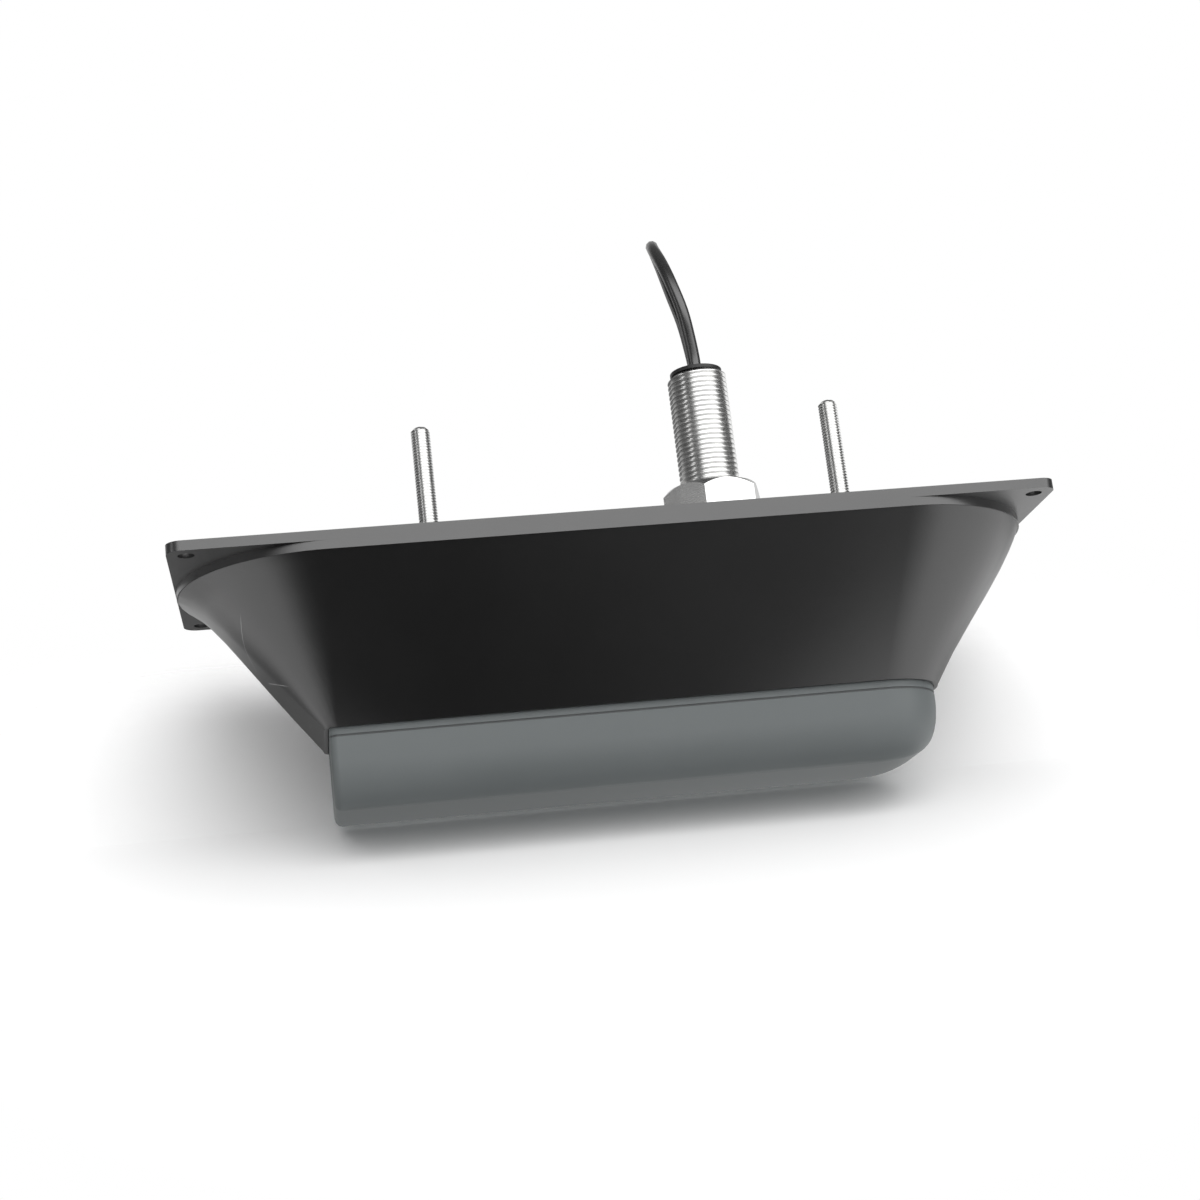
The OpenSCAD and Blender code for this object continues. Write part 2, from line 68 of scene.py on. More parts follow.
# Camera, found by fitting the flange, the housing and the stem to the picture
CAMERA_PLACE = (-0.13347, -0.85395, -0.14244)
CAMERA_AZIMUTH = math.radians(-8.611)
CAMERA_ELEVATION = math.radians(-14.493)
CAMERA_ROLL = math.radians(-6.671)
CAMERA_LENS = 65.18
CAMERA_SENSOR = 36

# Cable: lead from the bush to the coil, coil, and tail to the plug
CABLE_D = 0.0055
LEAD_ROUTE = [
    (0.048, 0, 0.177), (0.048, 0, 0.183), (0.047, -0.0015, 0.192), (0.045, -0.0035, 0.204),
    (0.042, -0.0025, 0.217), (0.04, 0.0025, 0.2285), (0.039, 0.011, 0.2385), (0.0405, 0.022, 0.2455),
    (0.044, 0.0345, 0.2475), (0.0485, 0.046, 0.244), (0.053, 0.0545, 0.2355), (0.0575, 0.0605, 0.2245),
    (0.0605, 0.0655, 0.213), (0.063, 0.0715, 0.2015), (0.0645, 0.0765, 0.19), (0.065, 0.0805, 0.1775),
    (0.0655, 0.0835, 0.1645), (0.0655, 0.0855, 0.1515), (0.065, 0.087, 0.1385), (0.065, 0.088, 0.1255),
    (0.064, 0.089, 0.1125), (0.063, 0.0905, 0.0995), (0.062, 0.093, 0.0865), (0.0605, 0.0965, 0.074),
    (0.059, 0.101, 0.062), (0.057, 0.1075, 0.051), (0.055, 0.1155, 0.041), (0.0535, 0.1255, 0.0325),
    (0.052, 0.137, 0.0275), (0.0505, 0.147, 0.0265), (0.0465, 0.157, 0.0265), (0.0395, 0.1655, 0.0265),
    (0.031, 0.1725, 0.0265),
]
TAIL_ROUTE = [
    (-0.0155, 0.189, 0.0045), (-0.027, 0.1895, 0.005), (-0.038, 0.189, 0.007),
    (-0.049, 0.188, 0.009), (-0.058, 0.188, 0.009),
]
# Coil: its turns lie in columns and rows, and the cable takes a part of a turn, in degrees, to shift
# to the next column or to drop to the next row
COIL_CENTRE = (0.01, 0.136)
COIL_RADIUS = 0.042
COIL_COLUMNS = 5
COIL_ROWS = 4
COIL_SHIFT = 80
COIL_DROP = 60
COIL_DROP_START = 118
COIL_STEP = 6
LEAD_END_ANGLE = 60
TAIL_ANGLE = 90
ROUTE_STEPS = 4

# Threads of the stem and the studs
STEM_D = 0.025
STEM_PITCH = 0.00212
STEM_THREAD_DEPTH = 0.0012
STEM_STEPS = 64
STEM_FOOT_HEIGHT = 0.005
STUD_PITCH = 0.00125
STUD_THREAD_DEPTH = 0.0006
STUD_STEPS = 40
STUD_SHANK_INSET = 0.325 * STUD_PITCH
TIP_CHAMFER = 0.0012
THREAD_SMOOTH = 30
THREAD_MERGE = 0.001 * MM

# Copies of CAD nodes, and the lip at the foot of the fairing
COPY_MERGE = 0.002 * MM
SAME_LEVEL = 0.05 * MM
LIP_HEIGHT = 1.5 * MM
LIP_SLANT = 0.75 * MM

# Finishes
GRAIN_DEPTH = 0.03 * MM
GRAIN_STRENGTH = 0.5
SCRATCH_WIDTH = (0.05 * MM, 0.16 * MM)
SCRATCH_FADE = 0.7
SCRATCH_SHARE = 0.7
SCRATCH_COLOUR = (0.4, 0.4, 0.4)
# Each scratch: a point on it, the direction across it and its reach
SCRATCHES = [
    ((-0.1486, -0.0157, 0.0676), (0.879, -0.27, -0.394), 0.021),
    ((-0.1371, -0.0125, 0.0534), (-0.233, 0.219, -0.947), 0.015),
]

# Paper: its colour as it lights the object, as it is seen, and in reflections, where it is painted
# dark so that its painted glow stands in for its lit look
PAPER = 0.8
FLOOR_SEEN = 1.0
APRON_SEEN = 0.95
PAPER_DIM = 0.02
PAPER_ROUGH = 0.9

# Painted glow of the paper, seen only in reflections: bright at the sides, dimmed close behind the
# object as a painted shadow, even under its sole, and a little brighter towards the nose
GLOW_MIDDLE = -0.02
GLOW_SIDES = (0.0, 0.12)
GLOW_SIDE_LEVEL = 1.2
GLOW_BACK = (0.01, 0.05)
GLOW_BACK_LOSS = 0.85
GLOW_NEAR = (0.16, 0.30)
GLOW_UNDER = 0.42
GLOW_UNDER_START = (-0.05, -0.03)
GLOW_UNDER_ENDS = (0.13, 0.16)
GLOW_NOSE = (-0.08, 0.10)
GLOW_NOSE_LEVEL = 0.15
GLOW_MOST = 2.0

# Floor under the object, and the apron, which slopes up to a hinge at the housing's far side and
# goes on as one steeper sheet to the left and one to the right
FLOOR_REACH = 2.5
FLOOR_DROP = 0.3 * MM
FLOOR_FADE = (1.2, 2.0)
APRON_FADE = (0.21, 0.30)
PAPER_TOP = (0.055, 0.10)
APRON_SLOPE = 31
APRON_BACK_SLOPE = 60
APRON_TURN = 4
APRON_HINGE = 2.4 * MM
APRON_REACH = 0.9
APRON_FRONT = -0.5
APRON_BACK = 0.20
APRON_ROWS = 28
APRON_LEFT = [(0.0, -0.105), (0.05, -0.11), (0.062, -0.12), (0.075, -0.135), (0.2, -0.16)]
APRON_RIGHT = 0.07

# Light of the studio on the object
FILL = 0.2
KEY_DIRECTION = (0.4, -0.65, 0.6)
KEY_RANGE = (0.5, 0.8)
KEY_LEVEL = 1.65
TOP_RANGE = (0.5, 0.9)
TOP_LEVEL = 1.2

# What reflections show of the studio
DARK_SIDE = 0.22
SWEEP_RANGE = (0.45, 0.9)
SWEEP_LEVEL = 0.9
BOX_DIRECTION = (0.3, -0.85, 0.43)
BOX_RANGE = (0.55, 0.8)
BOX_HORIZON = (-0.02, 0.12)
BOX_TOP = (0.5, 0.9)
BOX_LEVEL = 3.4

# Lamps: place, size and power
LAMP_AIM = (0, 0, 0.06)
LEFT_STRIP = ((-1.2, -0.42, 0.40), (0.2, 0.9), 1.2)
UNDER_FILL = ((0, 0.45, -0.8), (1.0, 0.4), 4.3)


# Camera and cable

def make_camera():
    azimuth, elevation, roll = CAMERA_AZIMUTH, CAMERA_ELEVATION, CAMERA_ROLL
    ahead = Vector((
        -math.sin(azimuth) * math.cos(elevation),
        math.cos(azimuth) * math.cos(elevation),
        -math.sin(elevation),
    ))
    level = Vector((math.cos(azimuth), math.sin(azimuth), 0))
    upright = level.cross(ahead)
    right = math.cos(roll) * level + math.sin(roll) * upright
    up = math.cos(roll) * upright - math.sin(roll) * level
    data = bpy.data.cameras.new("camera")
    data.lens = CAMERA_LENS
    data.sensor_width = CAMERA_SENSOR
    camera = bpy.data.objects.new("camera", data)
    bpy.context.scene.collection.objects.link(camera)
    turn = Matrix((right, up, -ahead)).transposed().to_4x4()
    camera.matrix_world = Matrix.Translation(CAMERA_PLACE) @ turn
    bpy.context.scene.camera = camera


def curve_through(points, steps):
    """Points on a smooth curve through the given ones."""
    points = [Vector(p) for p in points]
    last = len(points) - 1
    route = []
    for i in range(last):
        before = points[max(i - 1, 0)]
        start = points[i]
        end = points[i + 1]
        after = points[min(i + 2, last)]
        for k in range(steps):
            t = k / steps
            route.append(0.5 * (
                2 * start
                + (end - before) * t
                + (2 * before - 5 * start + 4 * end - after) * t ** 2
                + (3 * start - before - 3 * end + after) * t ** 3
            ))
    return route + [points[last]]


def ease(t):
    """A share of a way that starts and ends slowly."""
    return 2 * t * t if t < 0.5 else 1 - 2 * (1 - t) ** 2


def next_angle(after, place):
    """The first angle from a given one on that points to a place on the circle, in degrees."""
    return after + (place - after) % 360


def coil_legs():
    """Legs of the winding from its top layer down: angles, radii and heights at start and end."""
    outer = COIL_RADIUS + (COIL_COLUMNS - 1) / 2 * CABLE_D
    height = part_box("cable_coil")[1].z - CABLE_D / 2
    angle = COIL_DROP_START
    shift_at = COIL_DROP_START - COIL_SHIFT
    legs = [(LEAD_END_ANGLE, angle, COIL_RADIUS, outer, height + CABLE_D, height + CABLE_D)]
    legs.append((angle, angle + COIL_DROP, outer, outer, height + CABLE_D, height))
    angle += COIL_DROP
    radius = outer
    for row in range(COIL_ROWS):
        change = CABLE_D if row % 2 else -CABLE_D
        for column in range(COIL_COLUMNS - 1):
            start = next_angle(angle, shift_at)
            legs.append((angle, start, radius, radius, height, height))
            angle = start + COIL_SHIFT
            legs.append((start, angle, radius, radius + change, height, height))
            radius += change
        if row < COIL_ROWS - 1:
            start = next_angle(angle, shift_at - COIL_DROP)
            legs.append((angle, start, radius, radius, height, height))
            angle = start + COIL_DROP
            legs.append((start, angle, radius, radius, height, height - CABLE_D))
            height -= CABLE_D
            shift_at -= COIL_DROP + COIL_SHIFT
    legs.append((angle, next_angle(angle, TAIL_ANGLE), radius, radius, height, height))
    return legs


def coil_route():
    route = []
    for start, end, near, far, high, low in coil_legs():
        steps = max(1, round((end - start) / COIL_STEP))
        for i in range(1, steps + 1):
            t = i / steps
            angle = math.radians(start + (end - start) * t)
            radius = near + (far - near) * ease(t)
            route.append(Vector((
                COIL_CENTRE[0] + radius * math.cos(angle),
                COIL_CENTRE[1] + radius * math.sin(angle),
                high + (low - high) * ease(t),
            )))
    return route


def make_cable():
    turns = coil_route()
    lead = curve_through(LEAD_ROUTE, ROUTE_STEPS)
    tail = curve_through([turns[-1], *TAIL_ROUTE], ROUTE_STEPS)
    route = lead + turns + tail[1:]
    data = bpy.data.curves.new("cable", "CURVE")
    data.dimensions = "3D"
    data.bevel_depth = 1
    data.bevel_resolution = 3
    data.use_fill_caps = True
    spline = data.splines.new("POLY")
    spline.points.add(len(route) - 1)
    for point, place in zip(spline.points, route):
        point.co = (*place, 1)
        point.radius = CABLE_D / 2
    spline.use_smooth = True
    cable = bpy.data.objects.new("cable", data)
    bpy.context.scene.collection.objects.link(cable)
    return cable


make_camera()
cable = make_cable()


# Modelling helpers

def alone(piece):
    """Makes a piece the only selected one."""
    bpy.ops.object.select_all(action="DESELECT")
    piece.select_set(True)
    bpy.context.view_layer.objects.active = piece


def apply_modifier(piece, kind, **settings):
    alone(piece)
    modifier = piece.modifiers.new(kind.title(), kind)
    for name, value in settings.items():
        setattr(modifier, name, value)
    bpy.ops.object.modifier_apply(modifier=modifier.name)


def smooth(piece, degrees):
    alone(piece)
    bpy.ops.object.shade_smooth_by_angle(angle=math.radians(degrees))


def copy_of(node, name):
    """A piece of the same form as a CAD node, with its loose triangles joined."""
    piece = bpy.data.objects.new(name, nodes[node].data.copy())
    bpy.context.scene.collection.objects.link(piece)
    piece.data.materials.clear()
    alone(piece)
    bpy.ops.object.mode_set(mode="EDIT")
    bpy.ops.mesh.select_all(action="SELECT")
    bpy.ops.mesh.remove_doubles(threshold=COPY_MERGE)
    bpy.ops.mesh.customdata_custom_splitnormals_clear()
    bpy.ops.object.mode_set(mode="OBJECT")
    return piece


def flat_place(co):
    """Where a point lies as seen from above, rounded so that points match."""
    return (round(co.x, 5), round(co.y, 5))


def slanted_lip(piece, foot, height, amount):
    """Draws in the foot of a piece's lip, so that the lip goes on in the slope of the wall above."""
    outline = [v.co for v in piece.data.vertices if abs(v.co.z - foot - height) < SAME_LEVEL]
    on_lip = {flat_place(co) for co in outline}
    ends = [[pick(co[axis] for co in outline) for axis in range(2)] for pick in (min, max)]
    middle = [(low + high) / 2 for low, high in zip(*ends)]
    scale = [1 - 2 * amount / (high - low) for low, high in zip(*ends)]
    alone(piece)
    bpy.ops.object.mode_set(mode="EDIT")
    bpy.ops.mesh.select_mode(type="VERT")
    bpy.ops.mesh.select_all(action="DESELECT")
    bpy.ops.object.mode_set(mode="OBJECT")
    for v in piece.data.vertices:
        v.select = abs(v.co.z - foot) < SAME_LEVEL and flat_place(v.co) in on_lip
    bpy.ops.object.mode_set(mode="EDIT")
    bpy.ops.transform.resize(value=(*scale, 1), center_override=(*middle, foot))
    bpy.ops.object.mode_set(mode="OBJECT")


def finish_piece(piece, *replaced):
    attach(piece, BODY)
    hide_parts(*replaced)


def softened_copy(node, name, radius, segments=2, degrees=35, lip=None):
    """A copy of a CAD node with its edges rounded, and a slanted lip if one is given."""
    piece = copy_of(node, name)
    if lip:
        slanted_lip(piece, *lip)
    apply_modifier(
        piece, "BEVEL", width=radius, segments=segments, limit_method="ANGLE",
        angle_limit=math.radians(degrees), use_clamp_overlap=True, miter_outer="MITER_ARC",
    )
    smooth(piece, degrees)
    apply_modifier(piece, "WEIGHTED_NORMAL", keep_sharp=True)
    finish_piece(piece, node)
    return piece


def drawn_profile(name, points):
    """A chain of edges, drawn by extruding one vertex from point to point in the XZ plane."""
    bpy.ops.object.select_all(action="DESELECT")
    bpy.ops.mesh.primitive_plane_add(size=MM, location=(0, 0, 0))
    piece = bpy.context.object
    piece.name = name
    bpy.ops.object.mode_set(mode="EDIT")
    bpy.ops.mesh.select_all(action="SELECT")
    bpy.ops.mesh.merge(type="CENTER")
    bpy.ops.transform.translate(value=(points[0][0], 0, points[0][1]))
    for before, after in zip(points, points[1:]):
        move = (after[0] - before[0], 0, after[1] - before[1])
        bpy.ops.mesh.extrude_region_move(TRANSFORM_OT_translate={"value": move})
    bpy.ops.object.mode_set(mode="OBJECT")
    return piece


def cut_level(height, keep_below):
    """Cuts the mesh in edit mode at a height and leaves the cut's edge selected."""
    bpy.ops.mesh.select_all(action="SELECT")
    bpy.ops.mesh.bisect(
        plane_co=(0, 0, height), plane_no=(0, 0, 1),
        clear_outer=keep_below, clear_inner=not keep_below,
    )


def step_out(rise, scale):
    """Extrudes the selected edge along Z and scales it about the thread's axis."""
    bpy.ops.mesh.extrude_region_move(TRANSFORM_OT_translate={"value": (0, 0, rise)})
    bpy.ops.transform.resize(value=(scale, scale, 1), center_override=(0, 0, 0))


def threaded_rod(name, radius, pitch, depth, steps, low, high):
    """A rod on the Z axis with a helical thread, left in edit mode with its low edge selected."""
    root = radius - depth
    tooth = [(root, 0), (root, 0.1), (radius, 0.42), (radius, 0.58), (root, 0.9), (root, 1)]
    turns = math.ceil((high - low) / pitch) + 2
    rod = drawn_profile(name, [(r, low + (share - 1) * pitch) for r, share in tooth])
    apply_modifier(
        rod, "SCREW", axis="Z", angle=2 * math.pi, screw_offset=pitch, iterations=turns,
        steps=steps, render_steps=steps, use_merge_vertices=True, merge_threshold=THREAD_MERGE,
    )
    bpy.ops.object.mode_set(mode="EDIT")
    cut_level(high - TIP_CHAMFER, True)
    step_out(TIP_CHAMFER, (radius - TIP_CHAMFER) / radius)
    bpy.ops.mesh.edge_face_add()
    cut_level(low, False)
    return rod


def settle_rod(rod, x):
    """Closes a rod's foot, leaves edit mode and puts the rod in its place along X."""
    bpy.ops.mesh.edge_face_add()
    bpy.ops.mesh.select_all(action="SELECT")
    bpy.ops.mesh.remove_doubles(threshold=THREAD_MERGE)
    bpy.ops.mesh.normals_make_consistent(inside=False)
    bpy.ops.transform.translate(value=(x, 0, 0))
    bpy.ops.object.mode_set(mode="OBJECT")
    smooth(rod, THREAD_SMOOTH)


# Pieces

def make_stem():
    low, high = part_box("stem")
    x = (low.x + high.x) / 2
    foot_radius = (high.x - low.x) / 2
    shank_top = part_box("stem_washer")[0].z - 2 * STEM_PITCH
    radius = STEM_D / 2
    rod = threaded_rod(
        "stem_threaded", radius, STEM_PITCH, STEM_THREAD_DEPTH, STEM_STEPS, shank_top, high.z
    )
    step_out(low.z + STEM_FOOT_HEIGHT - shank_top, 1)
    step_out(0, foot_radius / radius)
    step_out(-STEM_FOOT_HEIGHT, 1)
    settle_rod(rod, x)
    finish_piece(rod, "stem")
    return rod


def make_stud(node):
    low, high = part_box(node)
    x = (low.x + high.x) / 2
    radius = (high.x - low.x) / 2
    thread_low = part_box("fairing_block")[1].z
    shank = radius - STUD_SHANK_INSET
    rod = threaded_rod(
        node + "_threaded", radius, STUD_PITCH, STUD_THREAD_DEPTH, STUD_STEPS, thread_low, high.z
    )
    step_out(0, shank / radius)
    step_out(low.z - thread_low, 1)
    settle_rod(rod, x)
    finish_piece(rod, node)
    return rod


fairing_lip = (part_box("fairing_block")[0].z, LIP_HEIGHT, LIP_SLANT)
fairing = softened_copy("fairing_block", "fairing", 0.5 * MM, lip=fairing_lip)
shell = softened_copy("housing_shell", "shell", 0.2 * MM, degrees=40)
lid = softened_copy("housing_lid", "lid", 0.2 * MM)
stem = make_stem()
washer = softened_copy("stem_washer", "washer", 0.4 * MM)
nut = softened_copy("stem_nut", "nut", 0.35 * MM, degrees=20)
studs = [make_stud(node) for node in ("stud_front", "stud_rear")]
bush = softened_copy("cable_bush", "bush", 0.6 * MM, segments=3)
ties = [
    softened_copy(node, node + "_band", 0.7 * MM, segments=3)
    for node in ("coil_tie_left", "coil_tie_right")
]
plug_grip = softened_copy("plug_grip", "plug_moulding", 0.4 * MM, degrees=25)
plug_shell = softened_copy("plug_shell", "plug_collar", 0.4 * MM)
plug_insert = softened_copy("plug_insert", "plug_face", 0.15 * MM)

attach(cable, BODY)
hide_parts("cable_lead", "cable_coil", "cable_tail")


# Finishes

class Value:
    """A socket of a material, with operators that add its maths nodes."""

    def __init__(self, finish, socket):
        self.finish = finish
        self.socket = socket

    def maths(self, operation, first, second):
        return self.finish.node("ShaderNodeMath", {"operation": operation}, {0: first, 1: second})

    def __add__(self, other):
        return self.maths("ADD", self, other)

    def __radd__(self, other):
        return self.maths("ADD", other, self)

    def __sub__(self, other):
        return self.maths("SUBTRACT", self, other)

    def __rsub__(self, other):
        return self.maths("SUBTRACT", other, self)

    def __mul__(self, other):
        return self.maths("MULTIPLY", self, other)

    def __rmul__(self, other):
        return self.maths("MULTIPLY", other, self)


class Nodes:
    """The node tree of a material or of the studio, built node by node."""

    def __init__(self, owner):
        owner.use_nodes = True
        self.tree = owner.node_tree
        self.tree.nodes.clear()

    def feed(self, socket, value):
        """Links a value to a socket, or sets a number or colour on it."""
        if isinstance(value, Value):
            self.tree.links.new(value.socket, socket)
        else:
            socket.default_value = value

    def node(self, kind, settings=(), inputs=(), output=0):
        """Adds a node with its settings and inputs, and gives one of its outputs."""
        made = self.tree.nodes.new(kind)
        for name, value in dict(settings).items():
            if name == "stops":
                for stop, (place, level) in zip(made.color_ramp.elements, value):
                    stop.position = place
                    stop.color = (level, level, level, 1)
            else:
                setattr(made, name, value)
        for name, value in dict(inputs).items():
            self.feed(made.inputs[name], value)
        return Value(self, made.outputs[output])

    def mix_shader(self, share, first, second):
        return self.node("ShaderNodeMixShader", inputs={0: share, 1: first, 2: second})

    def rise(self, value, low, high):
        """Zero up to the low value, one from the high value on, and a smooth rise between."""
        inputs = {"Value": value, "From Min": low, "From Max": high}
        return self.node("ShaderNodeMapRange", {"interpolation_type": "SMOOTHSTEP"}, inputs)

    def size(self, value):
        return self.node("ShaderNodeMath", {"operation": "ABSOLUTE"}, {0: value})

    def vector_maths(self, operation, *vectors):
        """The number that an operation on vectors gives."""
        inputs = dict(enumerate(vectors))
        return self.node("ShaderNodeVectorMath", {"operation": operation}, inputs, "Value")

    def along(self, where, direction):
        """How far a vector goes along a direction."""
        return self.vector_maths("DOT_PRODUCT", where, direction)

    def ray(self, kind):
        """One for a ray of a kind, such as Camera or Glossy, and zero for others."""
        return self.node("ShaderNodeLightPath", output="Is " + kind + " Ray")


class Finish(Nodes):
    """A material with one Principled surface."""

    def __init__(self, name):
        self.material = bpy.data.materials.new(name)
        super().__init__(self.material)
        self.surface = self.tree.nodes.new("ShaderNodeBsdfPrincipled")
        self.output = self.tree.nodes.new("ShaderNodeOutputMaterial")
        self.show(Value(self, self.surface.outputs[0]))

    def show(self, shader):
        self.feed(self.output.inputs["Surface"], shader)

    def place(self):
        return self.node("ShaderNodeTexCoord", output="Object")

    def stretched(self, scale):
        return self.node("ShaderNodeMapping", inputs={"Vector": self.place(), "Scale": scale})

    def noise(self, scale, detail, where=None):
        inputs = {"Vector": where or self.place(), "Scale": scale, "Detail": detail}
        return self.node("ShaderNodeTexNoise", inputs=inputs)

    def ramp(self, value, low, high):
        """Zero up to the low place, one from the high place on, and a ramp between."""
        return self.node("ShaderNodeValToRGB", {"stops": [(low, 0), (high, 1)]}, {"Fac": value})

    def blend(self, share, *colours):
        """A mix of two colours, each written out or from another node."""
        first, second = [(*c, 1) if isinstance(c, tuple) else c for c in colours]
        inputs = {"Factor": share, 6: first, 7: second}
        return self.node("ShaderNodeMix", {"data_type": "RGBA"}, inputs, output=2)

    def hairline(self, point, across, reach):
        """One on a fine scratch that crosses a point, and zero off it."""
        offset = self.size(self.along(self.place(), across) - Vector(point).dot(Vector(across)))
        distance = self.vector_maths("DISTANCE", self.place(), point)
        off_line = self.rise(offset, *SCRATCH_WIDTH)
        past_end = self.rise(distance, SCRATCH_FADE * reach, reach)
        return (1 - off_line) * (1 - past_end)

    def bump(self, height, distance=GRAIN_DEPTH, strength=GRAIN_STRENGTH):
        inputs = {"Height": height, "Distance": distance, "Strength": strength}
        return self.node("ShaderNodeBump", inputs=inputs)

    def set(self, **sockets):
        for name, value in sockets.items():
            self.feed(self.surface.inputs[name.replace("_", " ")], value)
        return self.material


def fairing_plastic():
    """Black moulded plastic with a fine grain, streaks of flow and hairline scratches at the tail."""
    finish = Finish("fairing_plastic")
    grain = finish.noise(1500, 2)
    cloud = finish.noise(18, 4)
    streak = finish.noise(1, 3, where=finish.stretched((9, 9, 60)))
    first, second = [finish.hairline(*scratch) for scratch in SCRATCHES]
    colour = finish.blend(cloud, (0.007, 0.007, 0.0072), (0.011, 0.011, 0.0113))
    colour = finish.blend((first + second) * SCRATCH_SHARE, colour, SCRATCH_COLOUR)
    rough = 0.25 + 0.08 * cloud + 0.05 * streak
    normal = finish.bump(grain)
    return finish.set(Base_Color=colour, Roughness=rough, Normal=normal, Specular_IOR_Level=1.0)


def housing_plastic():
    """Grey moulded plastic with a satin grain."""
    finish = Finish("housing_plastic")
    grain = finish.noise(1300, 2)
    cloud = finish.noise(25, 4)
    colour = finish.blend(cloud, (0.124, 0.138, 0.140), (0.146, 0.160, 0.162))
    rough = 0.42 + 0.10 * cloud
    normal = finish.bump(grain)
    return finish.set(Base_Color=colour, Roughness=rough, Normal=normal, Specular_IOR_Level=0.4)


def stainless():
    """Stainless steel, turned and rolled, with fine lines round the axis."""
    finish = Finish("stainless")
    lines = finish.noise(1, 2, where=finish.stretched((60, 60, 5200)))
    cloud = finish.noise(70, 3)
    colour = finish.blend(cloud, (0.58, 0.58, 0.58), (0.68, 0.68, 0.67))
    rough = 0.17 + 0.10 * cloud + 0.08 * lines
    normal = finish.bump(lines, 0.01 * MM, 0.4)
    return finish.set(Base_Color=colour, Metallic=1.0, Roughness=rough, Normal=normal)


def rubber(name, dark, light, rough, shine=0.5):
    """Rubber or soft plastic with a fine grain and a cloudy sheen."""
    finish = Finish(name)
    grain = finish.noise(900, 2)
    cloud = finish.noise(60, 3)
    colour = finish.blend(cloud, dark, light)
    normal = finish.bump(grain)
    finish.set(Base_Color=colour, Roughness=rough + 0.12 * cloud, Normal=normal)
    return finish.set(Specular_IOR_Level=shine)


def mottled(name, first, second, scale, rough):
    """A mottled finish for the pieces inside the housing."""
    finish = Finish(name)
    spots = finish.ramp(finish.noise(scale, 5), 0.4, 0.6)
    colour = finish.blend(spots, first, second)
    normal = finish.bump(spots, 0.05 * MM, 0.4)
    return finish.set(Base_Color=colour, Roughness=rough + 0.1 * spots, Normal=normal)


def dress(piece, material):
    """Gives a piece its finish."""
    piece.data.materials.clear()
    piece.data.materials.append(material)
    "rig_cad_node" not in piece


steel = stainless()
black_plastic = fairing_plastic()
grey_plastic = housing_plastic()
jacket = rubber("cable_jacket", (0.010, 0.010, 0.010), (0.020, 0.020, 0.020), 0.22, shine=1.0)
bush_plastic = rubber("bush_plastic", (0.009, 0.009, 0.009), (0.014, 0.014, 0.014), 0.38)
tie_nylon = rubber("tie_nylon", (0.008, 0.008, 0.008), (0.013, 0.013, 0.013), 0.32)
seal = rubber("seal_rubber", (0.08, 0.084, 0.085), (0.10, 0.105, 0.106), 0.6)
collar_plastic = rubber("plug_shell_plastic", (0.03, 0.03, 0.032), (0.045, 0.045, 0.047), 0.35)
face_plastic = rubber("plug_insert_plastic", (0.2, 0.2, 0.21), (0.25, 0.25, 0.26), 0.3)

dress(fairing, black_plastic)
dress(shell, grey_plastic)
dress(lid, grey_plastic)
for piece in (stem, washer, nut, *studs):
    dress(piece, steel)
dress(bush, bush_plastic)
dress(cable, jacket)
for tie in ties:
    dress(tie, tie_nylon)
dress(plug_grip, jacket)
dress(plug_shell, collar_plastic)
dress(plug_insert, face_plastic)
dress(nodes["lid_seal"], seal)
dress(nodes["stem_leads"], jacket)

ceramic = mottled("element_ceramic", (0.62, 0.52, 0.36), (0.74, 0.65, 0.47), 240, 0.45)
cork = mottled("backing", (0.34, 0.17, 0.07), (0.46, 0.25, 0.11), 700, 0.7)
resin = mottled("facing", (0.10, 0.19, 0.13), (0.14, 0.25, 0.17), 300, 0.4)
foam = mottled("carrier_foam", (0.62, 0.56, 0.38), (0.75, 0.68, 0.48), 900, 0.8)
board = mottled("board", (0.025, 0.13, 0.05), (0.035, 0.17, 0.07), 400, 0.3)
probe = mottled("probe_metal", (0.50, 0.25, 0.09), (0.60, 0.32, 0.13), 500, 0.3)
for stack in ("down", "port", "starboard"):
    dress(nodes[stack + "_backing"], cork)
    dress(nodes[stack + "_element"], ceramic)
    dress(nodes[stack + "_facing"], resin)
dress(nodes["element_carrier"], foam)
dress(nodes["circuit_board"], board)
dress(nodes["temperature_probe"], probe)


# Stage and light

def stage_sheet(name, points, faces, material):
    mesh = bpy.data.meshes.new(name)
    mesh.from_pydata(points, [], faces)
    for face in mesh.polygons:
        face.use_smooth = True
    mesh.materials.append(material)
    sheet = bpy.data.objects.new(name, mesh)
    bpy.context.scene.collection.objects.link(sheet)


def paper_glow(finish, place):
    """How bright the paper's painted glow is in reflections, dimmed close behind the object as a
    painted shadow.
    """
    across = finish.along(place, ALONG_X)
    back = finish.along(place, ALONG_Y)
    aside = finish.size(across - GLOW_MIDDLE)
    behind = finish.rise(back, *GLOW_BACK)
    # painted shadow: the glow dims close behind the object, away from its sides
    loss = GLOW_BACK_LOSS * (behind * (1 - finish.rise(aside, *GLOW_NEAR)))
    side = finish.rise(aside + back, *GLOW_SIDES) * (1 - loss) * GLOW_SIDE_LEVEL
    under = finish.rise(back, *GLOW_UNDER_START) * (1 - behind)
    under = under * (1 - finish.rise(aside, *GLOW_UNDER_ENDS))
    nose = finish.rise(across, *GLOW_NOSE)
    return side + under * (GLOW_UNDER - side) + GLOW_NOSE_LEVEL * nose


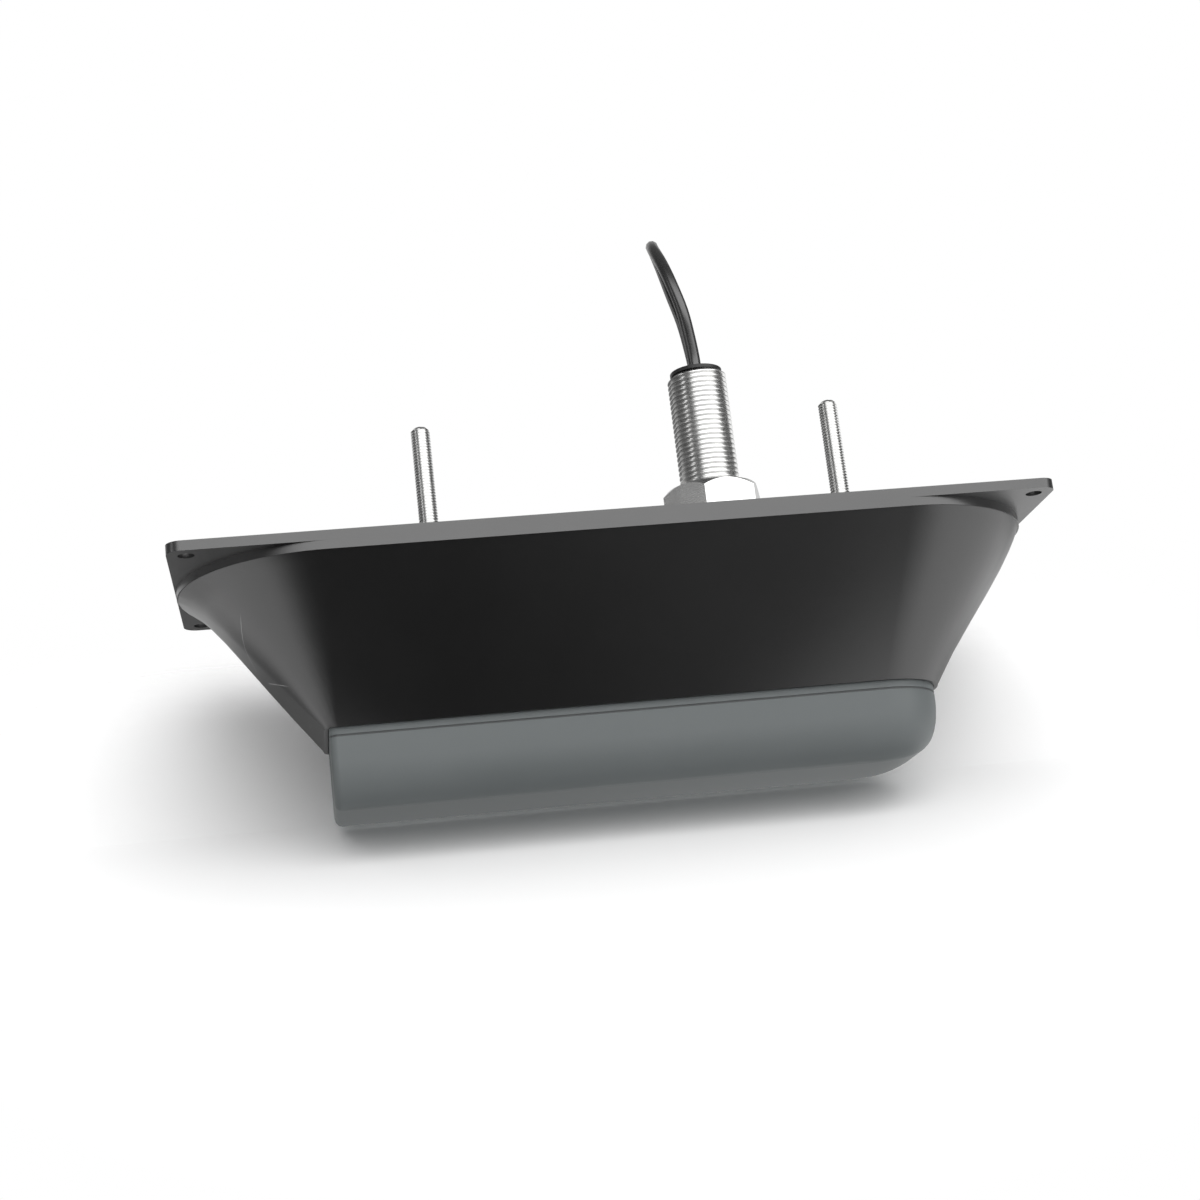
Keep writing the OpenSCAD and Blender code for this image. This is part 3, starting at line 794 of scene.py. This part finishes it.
def paper(name, seen_level, fade, lights_others):
    """White paper that shows from above only, so that a view or a lamp from below passes through it.

    It casts no shadow, ends softly with distance and height, and need not light other things.
    """
    finish = Finish(name)
    mirrored = finish.ray("Glossy")
    place = finish.place()
    # in reflections the paper is painted dark; its painted glow stands in for its lit look
    shade = finish.blend(mirrored, (PAPER, PAPER, PAPER), (PAPER_DIM, PAPER_DIM, PAPER_DIM))
    colour = finish.blend(finish.ray("Camera"), shade, (seen_level, seen_level, seen_level))
    # painted glow: the paper shines in reflections only, though it is no lamp
    glow = mirrored * paper_glow(finish, place)
    glow_colour = finish.blend(glow * (1 / GLOW_MOST), (0, 0, 0), (1, 1, 1))
    finish.set(Base_Color=colour, Roughness=PAPER_ROUGH, Specular_IOR_Level=0.0)
    finish.set(Emission_Color=glow_colour, Emission_Strength=GLOW_MOST)
    from_below = finish.node("ShaderNodeNewGeometry", output="Backfacing")
    distance = finish.vector_maths("LENGTH", place)
    height = finish.along(place, ALONG_Z)
    opaque = (1 - from_below) * (1 - finish.ray("Shadow"))
    opaque = opaque * (1 - finish.rise(distance, *fade)) * (1 - finish.rise(height, *PAPER_TOP))
    if not lights_others:
        opaque = opaque * (1 - finish.ray("Diffuse"))
    clear = finish.node("ShaderNodeBsdfTransparent")
    finish.show(finish.mix_shader(opaque, clear, Value(finish, finish.surface.outputs[0])))
    return finish.material


def between(table, place):
    """A value read from a table of places and values."""
    for (start, low), (end, high) in zip(table, table[1:]):
        if place <= end:
            return low + (high - low) * (place - start) / (end - start)
    return table[-1][1]


def apron_rows(hinge):
    """Rows of the apron behind the object, as it turns up from its front slope."""
    rows = [(hinge, APRON_HINGE)]
    step = (APRON_BACK - hinge) / APRON_ROWS
    for i in range(APRON_ROWS):
        slope = APRON_SLOPE + (APRON_BACK_SLOPE - APRON_SLOPE) * min(1, (i + 1) / APRON_TURN)
        y, z = rows[-1]
        rows.append((y + step, z + step * math.tan(math.radians(slope))))
    return rows


def make_floor():
    side = FLOOR_REACH
    corners = [(-side, -side), (side, -side), (side, side), (-side, side)]
    points = [(x, y, -FLOOR_DROP) for x, y in corners]
    stage_sheet("floor", points, [(0, 1, 2, 3)], paper("floor_paper", FLOOR_SEEN, FLOOR_FADE, True))


def make_apron():
    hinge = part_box("housing_shell")[1].y
    front_z = APRON_HINGE + (APRON_FRONT - hinge) * math.tan(math.radians(APRON_SLOPE))
    points = [
        (-APRON_REACH, APRON_FRONT, front_z), (APRON_REACH, APRON_FRONT, front_z),
        (APRON_REACH, hinge, APRON_HINGE), (-APRON_REACH, hinge, APRON_HINGE),
    ]
    faces = [(0, 1, 2, 3)]
    for left in (True, False):
        start = len(points)
        for y, z in apron_rows(hinge):
            points.append((-APRON_REACH if left else APRON_RIGHT, y, z))
            points.append((between(APRON_LEFT, y) if left else APRON_REACH, y, z))
        for i in range(start, len(points) - 2, 2):
            faces.append((i, i + 1, i + 3, i + 2))
    stage_sheet("apron", points, faces, paper("apron_paper", APRON_SEEN, APRON_FADE, False))


def area_lamp(name, place, size, power):
    data = bpy.data.lights.new(name, "AREA")
    data.shape = "RECTANGLE"
    data.size, data.size_y = size
    data.energy = power
    lamp = bpy.data.objects.new(name, data)
    bpy.context.scene.collection.objects.link(lamp)
    lamp.location = place
    lamp.rotation_euler = (Vector(LAMP_AIM) - Vector(place)).to_track_quat("-Z", "Y").to_euler()


def make_studio():
    """A world that lights the object from the front right and from above.

    Reflections show a white sweep behind, a bright box in front and a dark side all round instead,
    and the camera sees white.
    """
    world = bpy.data.worlds.new("studio")
    bpy.context.scene.world = world
    studio = Nodes(world)
    where = studio.node("ShaderNodeTexCoord", output="Generated")
    height = studio.along(where, ALONG_Z)
    key = studio.rise(studio.along(where, Vector(KEY_DIRECTION).normalized()), *KEY_RANGE)
    top = studio.rise(height, *TOP_RANGE)
    lighting = FILL + key * KEY_LEVEL + top * TOP_LEVEL
    sweep = studio.rise(studio.along(where, ALONG_Y), *SWEEP_RANGE)
    box = studio.rise(studio.along(where, Vector(BOX_DIRECTION).normalized()), *BOX_RANGE)
    box = box * studio.rise(height, *BOX_HORIZON) * (1 - studio.rise(height, *BOX_TOP))
    reflected = DARK_SIDE + sweep * SWEEP_LEVEL + box * BOX_LEVEL
    level = lighting + studio.ray("Glossy") * (reflected - lighting)
    light = studio.node("ShaderNodeBackground", inputs={"Strength": level})
    white = studio.node("ShaderNodeBackground", inputs={"Color": (1, 1, 1, 1), "Strength": 1.0})
    output = studio.tree.nodes.new("ShaderNodeOutputWorld")
    studio.feed(output.inputs["Surface"], studio.mix_shader(studio.ray("Camera"), light, white))


make_floor()
make_apron()
make_studio()
area_lamp("left_strip", *LEFT_STRIP)
area_lamp("under_fill", *UNDER_FILL)
bpy.context.scene.view_settings.view_transform = "Standard"
